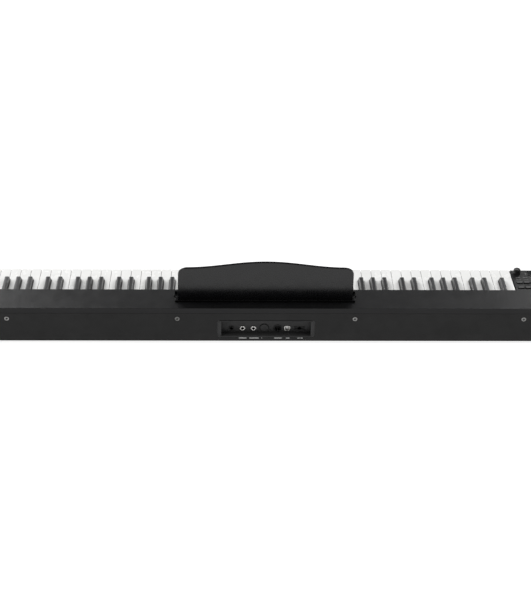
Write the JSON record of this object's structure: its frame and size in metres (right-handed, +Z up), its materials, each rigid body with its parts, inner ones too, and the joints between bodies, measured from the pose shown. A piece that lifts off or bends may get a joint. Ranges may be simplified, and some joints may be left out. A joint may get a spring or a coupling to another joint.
{
  "type": "digital piano",
  "caption": "Slab digital piano with full-size sprung keys, a bass control deck, a rear socket recess and a lift-out music rest; set on rubber feet.",
  "frame": {"origin": "centre of the object's underside, on the surface it stands on", "axes": "+X along the keyboard from bass to treble, +Y from the player to the back, +Z up"},
  "size_m": [1.35, 0.274, 0.2181],
  "materials": {
    "case_black": "fine spark-eroded texture, satin",
    "satin_black": "fine satin black coating",
    "frame_grey": "moulded, matt",
    "red_felt": "pressed wool felt",
    "circuit_board": "green solder mask on glass laminate",
    "black_rubber": "matt",
    "tinted_lens": "polished, smoke tint",
    "knob_black": "soft satin with a fluted skirt",
    "nickel": "nickel plate, slightly brushed",
    "paper_cone": "pressed paper pulp",
    "gloss_black": "polished piano black",
    "white_key": "polished ivory white, faintly warm at the edges",
    "black_key": "satin with a fine grain",
    "button_grey": "silicone, satin"
  },
  "bodies": {
    "piano_body": {"bottom_case": "case_black", "top_case": "satin_black", "bass_deck": "satin_black", "treble_cheek": "satin_black", "front_rail": "satin_black", "key_frame": "frame_grey", "rail_felt": "red_felt", "contact_board": "circuit_board", "contact_rubber": "black_rubber", "control_board": "circuit_board", "display_window": "tinted_lens", "indicator_guide": "tinted_lens", "main_board": "circuit_board", "jack_board": "circuit_board", "jack_recess": "satin_black", "pedal_jack": "case_black", "phone_jack_1": "nickel", "phone_jack_2": "nickel", "midi_socket": "case_black", "usb_socket": "nickel", "dc_inlet": "case_black", "speaker_1": "paper_cone", "speaker_2": "paper_cone", "wiring_loom": "black_rubber", "foot_1": "black_rubber", "foot_2": "black_rubber", "foot_3": "black_rubber", "foot_4": "black_rubber", "back_screw_1": "nickel", "back_screw_2": "nickel", "back_screw_3": "nickel", "back_screw_4": "nickel"},
    "volume_knob": {"volume_knob": "knob_black"},
    "power_button": {"power_button": "satin_black"},
    "music_rest": {"rest_panel": "gloss_black", "rest_ledge": "gloss_black"},
    "button_1": {"button_1": "button_grey"},
    "button_2": {"button_2": "button_grey"},
    "button_3": {"button_3": "button_grey"},
    "button_4": {"button_4": "button_grey"},
    "button_5": {"button_5": "button_grey"},
    "button_6": {"button_6": "button_grey"},
    "button_7": {"button_7": "button_grey"},
    "button_8": {"button_8": "button_grey"},
    "naturals_bass": {"naturals_bass": "white_key"},
    "sharps_bass": {"sharps_bass": "black_key"},
    "naturals_treble": {"naturals_treble": "white_key"},
    "sharps_treble": {"sharps_treble": "black_key"},
    "key_c4": {"key_c4": "white_key"},
    "key_c_sharp4": {"key_c_sharp4": "black_key"},
    "key_d4": {"key_d4": "white_key"},
    "key_d_sharp4": {"key_d_sharp4": "black_key"},
    "key_e4": {"key_e4": "white_key"},
    "key_f4": {"key_f4": "white_key"},
    "key_f_sharp4": {"key_f_sharp4": "black_key"},
    "key_g4": {"key_g4": "white_key"},
    "key_g_sharp4": {"key_g_sharp4": "black_key"},
    "key_a4": {"key_a4": "white_key"},
    "key_a_sharp4": {"key_a_sharp4": "black_key"},
    "key_b4": {"key_b4": "white_key"}
  },
  "joints": [
    {"name": "naturals_bass_press", "type": "hinge", "parent": "piano_body", "child": "naturals_bass", "pos_m": [0, 0.05196, 0.049], "axis": [1, 0, 0], "range_deg": [0, 3.33], "stiffness_Nm_per_rad": 5.52, "springref_deg": -28.65},
    {"name": "sharps_bass_press", "type": "hinge", "parent": "piano_body", "child": "sharps_bass", "pos_m": [0, 0.05196, 0.049], "axis": [1, 0, 0], "range_deg": [0, 4.2], "stiffness_Nm_per_rad": 1.92, "springref_deg": -28.65},
    {"name": "key_c4_press", "type": "hinge", "parent": "piano_body", "child": "key_c4", "pos_m": [0, 0.05196, 0.049], "axis": [1, 0, 0], "range_deg": [0, 3.33], "stiffness_Nm_per_rad": 0.24, "springref_deg": -28.65},
    {"name": "key_c_sharp4_press", "type": "hinge", "parent": "piano_body", "child": "key_c_sharp4", "pos_m": [0, 0.05196, 0.049], "axis": [1, 0, 0], "range_deg": [0, 4.2], "stiffness_Nm_per_rad": 0.12, "springref_deg": -28.65},
    {"name": "key_d4_press", "type": "hinge", "parent": "piano_body", "child": "key_d4", "pos_m": [0, 0.05196, 0.049], "axis": [1, 0, 0], "range_deg": [0, 3.33], "stiffness_Nm_per_rad": 0.24, "springref_deg": -28.65},
    {"name": "key_d_sharp4_press", "type": "hinge", "parent": "piano_body", "child": "key_d_sharp4", "pos_m": [0, 0.05196, 0.049], "axis": [1, 0, 0], "range_deg": [0, 4.2], "stiffness_Nm_per_rad": 0.12, "springref_deg": -28.65},
    {"name": "key_e4_press", "type": "hinge", "parent": "piano_body", "child": "key_e4", "pos_m": [0, 0.05196, 0.049], "axis": [1, 0, 0], "range_deg": [0, 3.33], "stiffness_Nm_per_rad": 0.24, "springref_deg": -28.65},
    {"name": "key_f4_press", "type": "hinge", "parent": "piano_body", "child": "key_f4", "pos_m": [0, 0.05196, 0.049], "axis": [1, 0, 0], "range_deg": [0, 3.33], "stiffness_Nm_per_rad": 0.24, "springref_deg": -28.65},
    {"name": "key_f_sharp4_press", "type": "hinge", "parent": "piano_body", "child": "key_f_sharp4", "pos_m": [0, 0.05196, 0.049], "axis": [1, 0, 0], "range_deg": [0, 4.2], "stiffness_Nm_per_rad": 0.12, "springref_deg": -28.65},
    {"name": "key_g4_press", "type": "hinge", "parent": "piano_body", "child": "key_g4", "pos_m": [0, 0.05196, 0.049], "axis": [1, 0, 0], "range_deg": [0, 3.33], "stiffness_Nm_per_rad": 0.24, "springref_deg": -28.65},
    {"name": "key_g_sharp4_press", "type": "hinge", "parent": "piano_body", "child": "key_g_sharp4", "pos_m": [0, 0.05196, 0.049], "axis": [1, 0, 0], "range_deg": [0, 4.2], "stiffness_Nm_per_rad": 0.12, "springref_deg": -28.65},
    {"name": "key_a4_press", "type": "hinge", "parent": "piano_body", "child": "key_a4", "pos_m": [0, 0.05196, 0.049], "axis": [1, 0, 0], "range_deg": [0, 3.33], "stiffness_Nm_per_rad": 0.24, "springref_deg": -28.65},
    {"name": "key_a_sharp4_press", "type": "hinge", "parent": "piano_body", "child": "key_a_sharp4", "pos_m": [0, 0.05196, 0.049], "axis": [1, 0, 0], "range_deg": [0, 4.2], "stiffness_Nm_per_rad": 0.12, "springref_deg": -28.65},
    {"name": "key_b4_press", "type": "hinge", "parent": "piano_body", "child": "key_b4", "pos_m": [0, 0.05196, 0.049], "axis": [1, 0, 0], "range_deg": [0, 3.33], "stiffness_Nm_per_rad": 0.24, "springref_deg": -28.65},
    {"name": "naturals_treble_press", "type": "hinge", "parent": "piano_body", "child": "naturals_treble", "pos_m": [0, 0.05196, 0.049], "axis": [1, 0, 0], "range_deg": [0, 3.33], "stiffness_Nm_per_rad": 5.28, "springref_deg": -28.65},
    {"name": "sharps_treble_press", "type": "hinge", "parent": "piano_body", "child": "sharps_treble", "pos_m": [0, 0.05196, 0.049], "axis": [1, 0, 0], "range_deg": [0, 4.2], "stiffness_Nm_per_rad": 1.8, "springref_deg": -28.65},
    {"name": "button_1_press", "type": "slide", "parent": "piano_body", "child": "button_1", "axis": [0, 0, -1], "range_m": [0, 0.0015], "stiffness_N_per_m": 300, "springref_m": -0.001},
    {"name": "button_2_press", "type": "slide", "parent": "piano_body", "child": "button_2", "axis": [0, 0, -1], "range_m": [0, 0.0015], "stiffness_N_per_m": 300, "springref_m": -0.001},
    {"name": "button_3_press", "type": "slide", "parent": "piano_body", "child": "button_3", "axis": [0, 0, -1], "range_m": [0, 0.0015], "stiffness_N_per_m": 300, "springref_m": -0.001},
    {"name": "button_4_press", "type": "slide", "parent": "piano_body", "child": "button_4", "axis": [0, 0, -1], "range_m": [0, 0.0015], "stiffness_N_per_m": 300, "springref_m": -0.001},
    {"name": "button_5_press", "type": "slide", "parent": "piano_body", "child": "button_5", "axis": [0, 0, -1], "range_m": [0, 0.0015], "stiffness_N_per_m": 300, "springref_m": -0.001},
    {"name": "button_6_press", "type": "slide", "parent": "piano_body", "child": "button_6", "axis": [0, 0, -1], "range_m": [0, 0.0015], "stiffness_N_per_m": 300, "springref_m": -0.001},
    {"name": "button_7_press", "type": "slide", "parent": "piano_body", "child": "button_7", "axis": [0, 0, -1], "range_m": [0, 0.0015], "stiffness_N_per_m": 300, "springref_m": -0.001},
    {"name": "button_8_press", "type": "slide", "parent": "piano_body", "child": "button_8", "axis": [0, 0, -1], "range_m": [0, 0.0015], "stiffness_N_per_m": 300, "springref_m": -0.001},
    {"name": "power_button_press", "type": "slide", "parent": "piano_body", "child": "power_button", "axis": [0, -1, 0], "range_m": [0, 0.002], "stiffness_N_per_m": 400, "springref_m": -0.001},
    {"name": "volume_knob_turn", "type": "hinge", "parent": "piano_body", "child": "volume_knob", "pos_m": [-0.5959, -0.10204, 0.059], "axis": [0, 0, -1], "range_deg": [-150, 150]},
    {"name": "music_rest_lift", "type": "slide", "parent": "piano_body", "child": "music_rest", "axis": [0, 0, 1], "range_m": [0, 0.03]}
  ]
}
